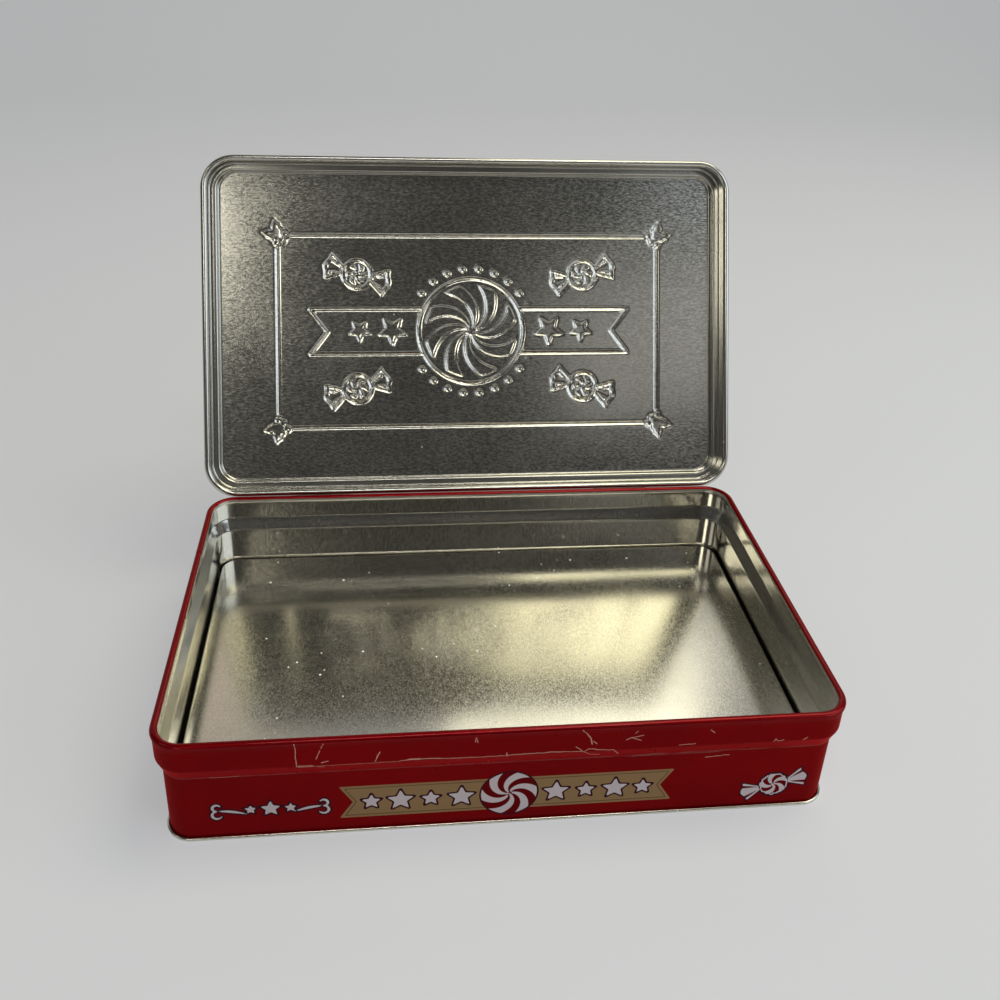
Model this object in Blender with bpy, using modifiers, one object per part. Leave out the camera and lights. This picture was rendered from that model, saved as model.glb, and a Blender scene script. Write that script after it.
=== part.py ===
"""Hinged candy tin: a tinplate body on a seamed bottom panel, with a stepped lid on two butt hinges.

Run with: blender --background --python part.py
Metres, +Z up. The front faces -Y. The lid stands open, leaning back on the stop tongues of its
hinges, and the origin is on the table, under the middle of all that the open tin covers.
"""
import math

import bmesh
import bpy
import numpy as np

# Driving dimensions of the tin
LENGTH = 0.240              # left to right over the rolled rim
DEPTH = 0.149               # front to back over the rolled rim
HEIGHT = 0.045              # table to the top of the rolled rim
CORNER_RADIUS = 0.0090      # plan radius of the rim's corners
SHEET = 0.0003              # thickness of the tinplate
GAP = 0.0003                # clearance between pieces that touch
OPEN_ANGLE = 113.5          # degrees from closed to leaning on the stops

# Body wall
RIM_RADIUS = 0.0014         # outside radius of the rolled rim
NECK_SETBACK = 0.0005       # neck face behind the rim's outermost line
NECK_HEIGHT = 0.0112        # rim top to the top of the shoulder
SHOULDER_DROP = 0.0050      # height of the sloping shoulder
SHOULDER_SETBACK = 0.0022   # lower wall behind the neck
FOOT_FLANGE = 0.0005        # flange turned out at the foot of the wall

# Bottom panel
SEAM_GAP = 0.0002           # clearance inside the seam that locks it to the wall
CHANNEL_WIDTH = 0.0012      # open groove between the wall and the raised floor
FLOOR_HEIGHT = 0.0130       # top of the raised floor
FLOOR_BEND = 0.0008         # press radius where the riser turns into the floor

# Lid
LID_CLEARANCE = 0.0006      # skirt to rim, all round
LID_OVERLAP = 0.0080        # how far the closed lid comes down over the body
LID_CURL_RADIUS = 0.0014    # outside radius of the lid's outward curl
SEAT_WIDTH = 0.0032         # flat ring that rests on the rim
PLATEAU_HEIGHT = 0.0038     # raised panel above the ring
PLATEAU_SLOPE = 0.0003      # how far the raised panel's side leans in
LID_BEND = 0.0006           # press radius of the lid's small bends
BEAD_HEIGHT = 0.0006        # height of the panel's embossed beads
BEAD_WIDTH = 0.0024         # width of those beads
FRAME_INSET = 0.0253        # line frame in from the raised panel's edge
FRAME_CORNER = 0.0060       # plan radius of the frame's corners
MEDALLION_RADIUS = 0.0250   # middle of the round bead inside the frame
EMBOSSING_SHIFT = 0.0025    # frame and medallion towards the hinges, off the panel's middle

# Hinges
HINGE_SPACING = 0.140       # between the middles of the two hinges
HINGE_WIDTH = 0.0240
MIDDLE_KNUCKLE = 0.0086     # width of the middle knuckle, which is the lid's
LEAF_SHEET = 0.0004
LEAF_BEND = 0.0007          # press radius of the leaves' bends
WELD_PLATE = 0.0120         # height of the body leaf's plate on the lower wall
PIN_RADIUS = 0.00055
PIN_HEAD_RADIUS = 0.0010
PIN_HEAD_THICKNESS = 0.0005
TONGUE_TIP = 0.0010         # tip of the stop tongue above the pin axis

# Fineness of the mesh
CORNER_STEPS = 8            # segments in a plan corner
CURL_STEP = 24              # degrees of a rolled edge between two points, at most
BEND_STEPS = 3
PIN_STEPS = 16

# Places worked out from the sizes above; a setback from the rim's outermost line is negative
HALF = SHEET / 2
LEAF_HALF = LEAF_SHEET / 2
NECK = -(NECK_SETBACK + HALF)               # middle of the neck's sheet
WALL = NECK - SHOULDER_SETBACK              # middle of the lower wall's sheet
SHOULDER_TOP = HEIGHT - NECK_HEIGHT
SHOULDER_FOOT = SHOULDER_TOP - SHOULDER_DROP
FLANGE_Z = SHEET + SEAM_GAP + HALF          # middle of the foot flange
FLANGE_TIP = WALL + HALF + FOOT_FLANGE
SKIRT = LID_CLEARANCE + HALF                # middle of the lid skirt's sheet
LID_EDGE_Z = HEIGHT + GAP - LID_OVERLAP     # lower edge of the closed lid
LID_CURL = 2 * LID_CURL_RADIUS
SEAT_Z = HEIGHT + GAP + HALF                # middle of the ring that rests on the rim
PLATEAU_Z = SEAT_Z + PLATEAU_HEIGHT
REAR = DEPTH / 2
KNUCKLE = PIN_RADIUS + GAP + LEAF_HALF      # middle of the rolled leaf, from the pin axis
AXIS_Y = REAR + LID_CLEARANCE + LID_CURL + GAP + KNUCKLE + LEAF_HALF
AXIS_Z = LID_EDGE_Z + LID_CURL + GAP + LEAF_HALF - KNUCKLE
BODY_ARM_Z = LID_EDGE_Z - GAP - LEAF_HALF   # body leaf's arm, just under the closed lid
LID_ARM_Z = AXIS_Z + KNUCKLE                # lid leaf's arm, just over the lid's curl
SPLIT_Y = AXIS_Y - 2 * KNUCKLE              # where the body leaf parts into tongues

LITHO_RED = (0.30, 0.004, 0.005, 1.0)
TINPLATE = (0.62, 0.61, 0.55, 1.0)
HINGE_STEEL = (0.52, 0.52, 0.50, 1.0)


def arc(centre, radius, start, end, steps):
    """Points along an arc between two angles in degrees, both ends included."""
    angles = np.radians(np.linspace(start, end, steps + 1))
    return [(centre[0] + radius * math.cos(a), centre[1] + radius * math.sin(a)) for a in angles]


def curl(centre, radius, start, end):
    """Points along a rolled edge, no further apart than CURL_STEP."""
    return arc(centre, radius, start, end, math.ceil(abs(end - start) / CURL_STEP))


def bend(corner, radius, start, end):
    """Quarter-turn press bend in the angle of two straight runs that meet at corner."""
    a, b = math.radians(start), math.radians(end)
    centre = (corner[0] - radius * (math.cos(a) + math.cos(b)),
              corner[1] - radius * (math.sin(a) + math.sin(b)))
    return arc(centre, radius, start, end, BEND_STEPS)


def rounded_rectangle(outset, z, least_radius=0.0, shift=0.0):
    """Plan outline at a height, set out by outset from the rim's outermost line."""
    radius = max(CORNER_RADIUS + outset, least_radius)
    half_x = LENGTH / 2 + outset - radius
    half_y = DEPTH / 2 + outset - radius
    points = []
    for start, (sx, sy) in zip((0, 90, 180, 270), ((1, 1), (-1, 1), (-1, -1), (1, -1))):
        corner = arc((sx * half_x, sy * half_y), radius, start, start + 90, CORNER_STEPS)
        points += [(x, y + shift, z) for x, y in corner]
    return points


def circle(radius, z, shift):
    """Round outline at a height, with as many points as a rounded rectangle."""
    count = 4 * (CORNER_STEPS + 1)
    angles = (np.arange(count) + 0.5) * 2 * math.pi / count
    return [(radius * math.cos(a), radius * math.sin(a) + shift, z) for a in angles]


def grow(bm, edges, row, places):
    """Extrude edges once and put the new copy of row at places; gives the new edges and row."""
    grown = bmesh.ops.extrude_edge_only(bm, edges=edges)["geom"]
    fresh = {v for v in grown if isinstance(v, bmesh.types.BMVert)}
    new_edges = [e for e in grown if isinstance(e, bmesh.types.BMEdge) and set(e.verts) <= fresh]
    new_row = [next(e.other_vert(v) for e in v.link_edges if e.other_vert(v) in fresh) for v in row]
    for vert, place in zip(new_row, places):
        vert.co = place
    return new_edges, new_row


def finish_mesh(bm, name, origin=(0.0, 0.0, 0.0)):
    """Turn a bmesh into a mesh whose own origin is at the given place."""
    bmesh.ops.recalc_face_normals(bm, faces=bm.faces)
    bmesh.ops.translate(bm, verts=bm.verts, vec=[-c for c in origin])
    mesh = bpy.data.meshes.new(name)
    bm.to_mesh(mesh)
    bm.free()
    return mesh


def pressed_sheet(name, rows, closed_middle=True, origin=(0.0, 0.0, 0.0)):
    """One skin through closed rows of places, each row joined to the one before it."""
    bm = bmesh.new()
    row = [bm.verts.new(place) for place in rows[0]]
    edges = [bm.edges.new((row[i - 1], row[i])) for i in range(len(row))]
    for places in rows[1:]:
        edges, row = grow(bm, edges, row, places)
    if closed_middle:
        bmesh.ops.edgeloop_fill(bm, edges=edges)
    return finish_mesh(bm, name, origin)


def add_part(name, mesh, parts, finish, parent, location=(0.0, 0.0, 0.0)):
    """Link a mesh as a named part, placed from the empty that carries it."""
    mesh.materials.append(finish)
    mesh.shade_smooth()
    mesh.set_sharp_from_angle(angle=math.radians(35))
    part = bpy.data.objects.new(name, mesh)
    part.location = location
    part.parent = parent
    parts.objects.link(part)
    return part


def thicken(part, thickness):
    """Give an open surface its sheet thickness, half to each side."""
    sheet = part.modifiers.new("sheet", 'SOLIDIFY')
    sheet.thickness = thickness
    sheet.offset = 0.0
    sheet.use_even_offset = True


def carried_round(profile):
    """Rows of places for a profile of (outset, z) points carried round the tin."""
    return [rounded_rectangle(outset, z) for outset, z in profile]


def bead(row_at):
    """Rows over an embossed bead; row_at gives one for its distance across and its height."""
    section = ((0.0, 0.0), (0.25, 0.7), (0.5, 1.0), (0.75, 0.7), (1.0, 0.0))
    return [row_at(BEAD_WIDTH * across, PLATEAU_Z + BEAD_HEIGHT * up) for across, up in section]


def body_wall_rows():
    """Rim rolled inwards, neck, sloping shoulder, lower wall and foot flange, from the top down."""
    rim = curl((-RIM_RADIUS, HEIGHT - RIM_RADIUS), RIM_RADIUS - HALF, 250, -35)
    neck_top = HEIGHT - 2 * RIM_RADIUS - SHEET
    ease_z = SHOULDER_DROP / 6
    ease = SHOULDER_SETBACK / 10
    shoulder = [(NECK, SHOULDER_TOP + ease_z), (NECK - ease, SHOULDER_TOP - ease_z / 2),
                (WALL + ease, SHOULDER_FOOT + ease_z / 2), (WALL, SHOULDER_FOOT - ease_z)]
    foot = [(WALL, FLANGE_Z + SHEET), (WALL + SHEET, FLANGE_Z), (FLANGE_TIP, FLANGE_Z)]
    return carried_round(rim + [(NECK, neck_top)] + shoulder + foot)


def bottom_panel_rows():
    """Hem locked over the wall's flange, the ring it stands on, riser and raised floor."""
    hem_z = FLANGE_Z + SHEET + SEAM_GAP
    hem_tip = WALL + HALF + SEAM_GAP
    seam = FLANGE_TIP + SEAM_GAP + HALF
    riser = WALL - SHEET - CHANNEL_WIDTH
    hem = [(hem_tip, hem_z), (seam - SHEET, hem_z), (seam, hem_z - SHEET)]
    stand = [(seam, HALF + SHEET), (seam - SHEET, HALF), (riser + SHEET, HALF), (riser, HALF + SHEET)]
    floor = bend((riser, FLOOR_HEIGHT - HALF), FLOOR_BEND, 0, 90)
    return carried_round(hem + stand + floor)


def lid_rows():
    """Edge curled outwards, skirt, seat ring, raised panel and its embossed beads."""
    roll = LID_CURL_RADIUS - HALF
    edge = curl((SKIRT + roll, LID_EDGE_Z + LID_CURL_RADIUS), roll, 115, -180)
    ring_end = SKIRT - SEAT_WIDTH
    plateau = ring_end - PLATEAU_SLOPE
    skirt_top = bend((SKIRT, SEAT_Z), LID_BEND, 0, 90)
    ring = arc((ring_end + LID_BEND, SEAT_Z + LID_BEND), LID_BEND, 270, 180, BEND_STEPS)
    plateau_edge = bend((plateau, PLATEAU_Z), LID_BEND, 0, 90)
    line = plateau - FRAME_INSET
    boss = MEDALLION_RADIUS + BEAD_WIDTH / 2
    frame = bead(lambda across, z: rounded_rectangle(line - across, z, FRAME_CORNER, EMBOSSING_SHIFT))
    medallion = bead(lambda across, z: circle(boss - across, z, EMBOSSING_SHIFT))
    return carried_round(edge + skirt_top + ring + plateau_edge) + frame + medallion


def leaf_mesh(name, shared, middle, sides):
    """Hinge leaf: a shared plate that parts into a middle tongue and two side tongues.

    Each path is a list of (y, z) places. The mesh is centred on X, with its origin on the pin axis.
    """
    outer = HINGE_WIDTH / 2
    inner = MIDDLE_KNUCKLE / 2
    columns = [-outer, -inner - GAP, -inner, inner, inner + GAP, outer]
    bm = bmesh.new()
    row = [bm.verts.new((x, *shared[0])) for x in columns]
    edges = [bm.edges.new(pair) for pair in zip(row, row[1:])]
    for place in shared[1:]:
        edges, row = grow(bm, edges, row, [(x, *place) for x in columns])
    for path, left, right in ((sides, 0, 1), (middle, 2, 3), (sides, 4, 5)):
        pair = [row[left], row[right]]
        tongue = [bm.edges.get(pair)]
        for place in path:
            tongue, pair = grow(bm, tongue, pair, [(columns[left], *place), (columns[right], *place)])
    return finish_mesh(bm, name, (0.0, AXIS_Y, AXIS_Z))


def body_leaf_mesh():
    """Plate on the lower wall, arm over the shoulder, two rolled knuckles and a stop tongue."""
    seat = GAP + LEAF_HALF
    wall_y = REAR - NECK_SETBACK - SHOULDER_SETBACK + seat
    neck_y = REAR - NECK_SETBACK + seat
    plate_top = SHOULDER_FOOT - GAP
    shared = [(wall_y, plate_top - WELD_PLATE), (wall_y, plate_top), (neck_y, SHOULDER_TOP - GAP)]
    shared += arc((neck_y + LEAF_BEND, BODY_ARM_Z - LEAF_BEND), LEAF_BEND, 180, 90, BEND_STEPS)
    shared.append((SPLIT_Y, BODY_ARM_Z))

    # The side tongues run straight to the roll and meet it at its tangent
    run_y, run_z = SPLIT_Y - AXIS_Y, BODY_ARM_Z - AXIS_Z
    meet = math.degrees(math.atan2(run_z, run_y) + math.acos(KNUCKLE / math.hypot(run_y, run_z)))
    knuckle = curl((AXIS_Y, AXIS_Z), KNUCKLE, meet, 240)

    # The stop tongue passes under the pin and stands where the open lid's arm comes to rest
    turn = math.radians(OPEN_ANGLE)
    reach = KNUCKLE + LEAF_SHEET + GAP - TONGUE_TIP * math.cos(turn)
    stop_y = AXIS_Y + reach / math.sin(turn)
    stop = arc((stop_y - LEAF_BEND, BODY_ARM_Z + LEAF_BEND), LEAF_BEND, 270, 360, BEND_STEPS)
    stop.append((stop_y, AXIS_Z + TONGUE_TIP))
    return leaf_mesh("hinge_body_leaf", shared, stop, knuckle)


def lid_leaf_mesh():
    """Short plate on the lid's skirt, arm over the curl and one rolled knuckle."""
    plate_y = REAR + LID_CLEARANCE + SHEET + GAP + LEAF_HALF
    plate_top = SEAT_Z - LID_BEND - GAP
    clear = AXIS_Y - KNUCKLE - LEAF_SHEET - GAP
    shared = [(plate_y, plate_top)]
    shared += arc((plate_y + LEAF_BEND, LID_ARM_Z + LEAF_BEND), LEAF_BEND, 180, 270, BEND_STEPS)
    shared.append((clear, LID_ARM_Z))
    knuckle = curl((AXIS_Y, AXIS_Z), KNUCKLE, 90, -205)
    return leaf_mesh("hinge_lid_leaf", shared, knuckle, [])


def pin_mesh():
    """Half outline of a wire pin with peened heads, drawn along Z for a Screw modifier."""
    shank = HINGE_WIDTH / 2 + GAP
    tip = shank + PIN_HEAD_THICKNESS
    dome = PIN_HEAD_THICKNESS / 2
    half = [(0, tip), (PIN_HEAD_RADIUS - dome, tip), (PIN_HEAD_RADIUS, tip - dome),
            (PIN_HEAD_RADIUS, shank), (PIN_RADIUS, shank)]
    outline = half + [(r, -z) for r, z in reversed(half)]
    mesh = bpy.data.meshes.new("hinge_pin")
    mesh.from_pydata([(r, 0, z) for r, z in outline], [(i, i + 1) for i in range(len(outline) - 1)], [])
    return mesh


def add_pin(name, parts, finish, tin, location):
    """Turn the pin's outline and lay it along X."""
    pin = add_part(name, pin_mesh(), parts, finish, tin, location)
    pin.rotation_euler = (0.0, math.pi / 2, 0.0)
    turn = pin.modifiers.new("turned", 'SCREW')
    turn.steps = PIN_STEPS
    turn.render_steps = PIN_STEPS
    turn.use_merge_vertices = True
    turn.merge_threshold = 0.00001
    turn.use_normal_calculate = True


def add_hinge(side, x, parts, finish, tin, lid_axis):
    """One butt hinge: its body leaf, its pin and the leaf that turns with the lid."""
    on_axis = (x, AXIS_Y, AXIS_Z)
    body_leaf = add_part("hinge_body_leaf_" + side, body_leaf_mesh(), parts, finish, tin, on_axis)
    lid_leaf = add_part("hinge_lid_leaf_" + side, lid_leaf_mesh(), parts, finish, lid_axis, (x, 0, 0))
    thicken(body_leaf, LEAF_SHEET)
    thicken(lid_leaf, LEAF_SHEET)
    add_pin("hinge_pin_" + side, parts, finish, tin, on_axis)


def new_material(name, colour, roughness, metallic):
    """A Principled material with a plain colour."""
    made = bpy.data.materials.new(name)
    made.use_nodes = True
    shader = made.node_tree.nodes["Principled BSDF"]
    shader.inputs["Base Color"].default_value = colour
    shader.inputs["Roughness"].default_value = roughness
    shader.inputs["Metallic"].default_value = metallic
    return made


def add_empty(name, parts, location=(0.0, 0.0, 0.0), parent=None):
    """An empty that carries parts."""
    empty = bpy.data.objects.new(name, None)
    empty.location = location
    empty.parent = parent
    parts.objects.link(empty)
    return empty


def centre_footprint(tin, parts):
    """Slide the whole tin along Y so that what the open tin covers is centred on the origin."""
    bpy.context.view_layer.update()
    graph = bpy.context.evaluated_depsgraph_get()
    solids = [part.evaluated_get(graph) for part in parts.objects if part.type == 'MESH']
    reach = [(solid.matrix_world @ vert.co).y for solid in solids for vert in solid.data.vertices]
    tin.location.y = -(min(reach) + max(reach)) / 2


def build_tin():
    """Clear the scene and put the whole tin into a collection of its own."""
    for old in list(bpy.data.objects):
        bpy.data.objects.remove(old, do_unlink=True)
    parts = bpy.data.collections.new("candy_tin")
    bpy.context.scene.collection.children.link(parts)
    red = new_material("printed tinplate", LITHO_RED, 0.32, 0.0)
    bare = new_material("bare tinplate", TINPLATE, 0.35, 1.0)
    steel = new_material("hinge steel", HINGE_STEEL, 0.40, 1.0)

    tin = add_empty("tin", parts)
    lid_axis = add_empty("lid_axis", parts, (0.0, AXIS_Y, AXIS_Z), tin)
    lid_axis.rotation_euler = (-math.radians(OPEN_ANGLE), 0.0, 0.0)

    wall = pressed_sheet("body_wall", body_wall_rows(), closed_middle=False)
    thicken(add_part("body_wall", wall, parts, red, tin), SHEET)
    bottom = pressed_sheet("bottom_panel", bottom_panel_rows())
    thicken(add_part("bottom_panel", bottom, parts, bare, tin), SHEET)
    lid = pressed_sheet("lid", lid_rows(), origin=(0.0, AXIS_Y, AXIS_Z))
    thicken(add_part("lid", lid, parts, bare, lid_axis), SHEET)
    for side, x in (("left", -HINGE_SPACING / 2), ("right", HINGE_SPACING / 2)):
        add_hinge(side, x, parts, steel, tin, lid_axis)
    centre_footprint(tin, parts)


build_tin()
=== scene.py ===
"""Candy tin standing open: the looks of each piece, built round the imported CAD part.

Metres, +Z up. The front faces -Y, and the lid leans back on its hinges.
"""
import math

import bpy
import numpy as np
from mathutils import Matrix, Vector


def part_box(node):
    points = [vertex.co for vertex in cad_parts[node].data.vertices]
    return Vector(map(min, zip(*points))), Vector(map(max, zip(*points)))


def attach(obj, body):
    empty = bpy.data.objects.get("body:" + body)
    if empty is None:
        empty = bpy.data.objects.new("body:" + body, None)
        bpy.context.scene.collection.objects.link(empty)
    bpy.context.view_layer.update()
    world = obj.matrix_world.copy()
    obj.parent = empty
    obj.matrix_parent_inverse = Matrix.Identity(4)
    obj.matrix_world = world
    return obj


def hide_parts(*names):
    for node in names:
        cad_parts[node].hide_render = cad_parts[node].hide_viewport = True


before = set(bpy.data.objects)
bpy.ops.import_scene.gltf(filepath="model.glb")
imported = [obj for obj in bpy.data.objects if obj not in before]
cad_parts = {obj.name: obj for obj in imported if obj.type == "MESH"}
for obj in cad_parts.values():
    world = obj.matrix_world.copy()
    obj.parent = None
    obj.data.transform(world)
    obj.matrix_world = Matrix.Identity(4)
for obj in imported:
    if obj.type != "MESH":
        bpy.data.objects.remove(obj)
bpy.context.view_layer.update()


# Body wall: one strip of 0.3 mm tinplate, printed red outside and bare inside. Its top is rolled
# inwards into a thin hollow rim, a sloping shoulder draws it in below the lid's reach, the foot is
# flanged for the seam, and the two ends of the strip are butted and welded at the back.
LENGTH = 0.240
DEPTH = 0.149
HEIGHT = 0.045
CORNER = 0.0115
CORNER_STEPS = 14
SHEET = 0.0003
SMOOTH_ANGLE = math.radians(40)
MIDDLE_Y = (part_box("bottom_panel")[0].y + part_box("bottom_panel")[1].y) / 2
RIM_RADIUS = 0.0014
NECK = -0.00065
WALL = -0.00285
SHOULDER_TOP = 0.0336
SHOULDER_FOOT = 0.0284
FOOT_FLANGE = 0.0005
FLANGE_Z = 0.00065
FLANGE_TOP = 0.0014
PRINT_FOOT = 0.0030
PRINT_TOP = 0.0250
PRINT_ROWS = 40

# Print and embossing are drawn in millimetres, from distances that are FAR where nothing is near
MM = 1000
FAR = 9.0


def spaced(*stops):
    """Places from 0 out to the last stop, mirrored about 0. A stop is (where, pitch up to it)."""
    half = [np.zeros(1)]
    start = 0.0
    for where, pitch in stops:
        half.append(np.linspace(start, where, max(2, round((where - start) / pitch) + 1))[1:])
        start = where
    half = np.concatenate(half)
    return np.concatenate([-half[:0:-1], half])


def plan_outline(front_x, back_x, side_y):
    """Feet and outward normals round the plan, anticlockwise from the right side.

    A point set out by d from the rim's outermost line is foot + normal * (CORNER + d): along a
    straight side the foot runs between two corner centres, and in a corner it stays on one while
    the normal turns a quarter."""
    quarter = np.linspace(0, math.pi / 2, CORNER_STEPS + 1)[1:-1]
    hx, hy = LENGTH / 2 - CORNER, DEPTH / 2 - CORNER
    sides = [
        (np.full(len(side_y), hx), side_y, 0),
        (back_x[::-1], np.full(len(back_x), hy), 1),
        (np.full(len(side_y), -hx), side_y[::-1], 2),
        (front_x, np.full(len(front_x), -hy), 3),
    ]
    corners = ((hx, hy), (-hx, hy), (-hx, -hy), (hx, -hy))
    feet, normals = [], []
    for (x, y, k), centre in zip(sides, corners):
        facing = k * math.pi / 2
        feet += [np.stack([x, y], 1), np.tile(centre, (len(quarter), 1))]
        normals.append(np.tile([math.cos(facing), math.sin(facing)], (len(x), 1)))
        normals.append(np.stack([np.cos(facing + quarter), np.sin(facing + quarter)], 1))
    return np.concatenate(feet), np.concatenate(normals)


def arc(centre_out, centre_z, radius, start, end, steps):
    """(outset, height) along an arc between two angles in degrees: centre + radius (cos, sin)."""
    a = np.radians(np.linspace(start, end, steps + 1))
    return np.stack([centre_out + radius * np.cos(a), centre_z + radius * np.sin(a)], 1)


def straight(a, b, steps):
    """(outset, height) along a straight run from just after a to b: a + (b - a) t."""
    t = np.linspace(0, 1, steps + 1)[1:, None]
    return np.asarray(a) + (np.asarray(b) - np.asarray(a)) * t


def carried(profile, feet, normals):
    """A profile of (outset, height) rows carried round the plan.

    A row's points are foot + normal * (CORNER + outset), at its height."""
    out = CORNER + profile[:, 0][:, None, None]
    plan = feet[None] + normals[None] * out
    height = np.broadcast_to(profile[:, 1][:, None, None], plan.shape[:2] + (1,))
    return np.concatenate([plan, height], 2)


def grid_faces(number):
    """Quads of an open grid, from the numbers of its points."""
    corners = [number[:-1, :-1], number[1:, :-1], number[1:, 1:], number[:-1, 1:]]
    return np.stack(corners, -1).reshape(-1, 4)


def strip_faces(rows, columns, first=0):
    """Quads between neighbouring rows of a closed ring of columns, numbered row by row."""
    r, c = np.meshgrid(np.arange(rows - 1), np.arange(columns), indexing="ij")
    n = (c + 1) % columns
    a = first + r * columns
    b = a + columns
    return np.stack([a + c, b + c, b + n, a + n], -1).reshape(-1, 4)


def new_piece(name, points, faces, fields, materials):
    """A mesh object from arrays, with one float attribute per field, smooth up to SMOOTH_ANGLE."""
    mesh = bpy.data.meshes.new(name)
    mesh.from_pydata(points.reshape(-1, 3).tolist(), [], faces)
    for field, values in fields.items():
        layer = mesh.attributes.new(field, "FLOAT", "POINT")
        layer.data.foreach_set("value", values.astype(np.float32).ravel())
    for material in materials:
        mesh.materials.append(material)
    mesh.shade_smooth()
    mesh.set_sharp_from_angle(angle=SMOOTH_ANGLE)
    piece = bpy.data.objects.new(name, mesh)
    bpy.context.scene.collection.objects.link(piece)
    return piece


def give_sheet(piece, backing):
    """Solidify, half to each side. With backing 1 the side behind the normals has the second
    material."""
    sheet = piece.modifiers.new("sheet", "SOLIDIFY")
    sheet.thickness = SHEET
    sheet.offset = 0.0
    sheet.use_even_offset = True
    sheet.material_offset = backing


def polygon_distance(x, y, corners):
    """Signed distance to a closed polygon, negative inside: the least distance to a side, with the
    sign from how often a ray from the point crosses the sides."""
    corners = np.asarray(corners, float)
    best = np.full(x.shape, np.inf)
    inside = np.zeros(x.shape, bool)
    for (ax, ay), (bx, by) in zip(corners, np.roll(corners, -1, 0)):
        ex, ey = bx - ax, by - ay
        t = np.clip(((x - ax) * ex + (y - ay) * ey) / (ex * ex + ey * ey), 0, 1)
        best = np.minimum(best, np.hypot(x - ax - ex * t, y - ay - ey * t))
        if ay != by:
            crossing = (ay > y) != (by > y)
            inside ^= crossing & (x < ax + (y - ay) * ex / (by - ay))
    return np.where(inside, -best, best)


def stroke_distance(x, y, points, widths):
    """Distance to a stroke less its half width, which runs evenly between the given half widths."""
    best = np.full(x.shape, np.inf)
    for (ax, ay), (bx, by), wa, wb in zip(points, points[1:], widths, widths[1:]):
        ex, ey = bx - ax, by - ay
        t = np.clip(((x - ax) * ex + (y - ay) * ey) / (ex * ex + ey * ey + 1e-20), 0, 1)
        best = np.minimum(best, np.hypot(x - ax - ex * t, y - ay - ey * t) - (wa + (wb - wa) * t))
    return best


def star(cx, cy, radius):
    """Corners of a five-pointed star: every second one drawn in to 0.45 of the radius."""
    a = math.pi / 2 + np.arange(10) * math.pi / 5
    r = radius * np.where(np.arange(10) % 2, 0.45, 1.0)
    return np.stack([cx + r * np.cos(a), cy + r * np.sin(a)], 1)


def swallowtail(half, height, notch, cy=0.0):
    """Corners of a level ribbon whose two ends are notched."""
    h = height / 2
    return [(-half, cy - h), (half, cy - h), (half - notch, cy), (half, cy + h), (-half, cy + h),
            (-half + notch, cy)]


def swirl(x, y, cx, cy, radius, arms, twist):
    """Distance to a round sweet, and a field that is negative in its swirled arms.

    The arms are the zero lines of sin(arms (angle + twist r / radius)), scaled to a distance."""
    dx, dy = x - cx, y - cy
    r = np.hypot(dx, dy)
    wave = np.sin(arms * (np.arctan2(dy, dx) + twist * r / radius))
    return r - radius, np.where(r < radius * 1.1, wave * r / arms, FAR)


def wrapped_sweet(x, y, cx, cy, radius, reach, tilt):
    """Distance to the two twists of a wrapped sweet, and a field that is negative in their pleats.

    With u out from the sweet's edge and v across, a twist is |v| < 0.2 radius + 0.62 u, ended by an
    arc about its neck that is scalloped by cos(9 a), and the pleats follow the same cos(9 a)."""
    c, s = math.cos(tilt), math.sin(tilt)
    u = np.abs((x - cx) * c + (y - cy) * s) - radius
    v = (y - cy) * c - (x - cx) * s
    a = np.arctan2(v, u + 0.3 * radius)
    r = np.hypot(v, u + 0.3 * radius)
    scallops = np.cos(9 * a)
    fan = np.maximum(np.abs(v) - 0.2 * radius - 0.62 * u,
                     r - (reach - 0.7 * radius) - 0.4 * scallops)
    return np.maximum(fan, -0.3 * radius - u), np.where(u > 0, (0.72 + scallops) * r / 9, FAR)


def flourish(cx, cy, size, facing):
    """The points and half widths of a pen flourish: two small curls, one above the other, and the
    swelling tail that ends in them.

    The tail is a shallow parabola from x = -1.5 to 0.6, and the curls are arcs of 240 degrees about
    (0.62, 0.33) and (0.62, -0.37), all times size."""
    t = np.linspace(0, 1, 12)
    upper, lower = np.radians(150 - 240 * t), np.radians(90 - 240 * t)
    x = np.concatenate([0.62 + 0.31 * np.cos(upper), 0.62 + 0.37 * np.cos(lower)])
    y = np.concatenate([0.33 + 0.31 * np.sin(upper), -0.37 + 0.37 * np.sin(lower)])
    curls = np.stack([cx + facing * size * x, cy + size * y], 1)
    tail_x, tail_y = 2.1 * t - 1.5, 0.42 * t * (2 - t) - 0.40
    tail = np.stack([cx + facing * size * tail_x, cy + size * tail_y], 1)
    swell = np.sin(math.pi * t)
    curl_widths = size * (0.055 + 0.05 * np.concatenate([swell, swell]))
    return (curls, curl_widths), (tail, size * (0.03 + 0.09 * swell))


# Points lie close along the front, which has the print, and far apart on the other sides
front_x = spaced((0.066, 0.00060), (LENGTH / 2 - CORNER, 0.00055))
back_x = spaced((LENGTH / 2 - CORNER, 0.0060))
side_y = spaced((DEPTH / 2 - CORNER, 0.0050))
feet, normals = plan_outline(front_x, back_x, side_y)

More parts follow.
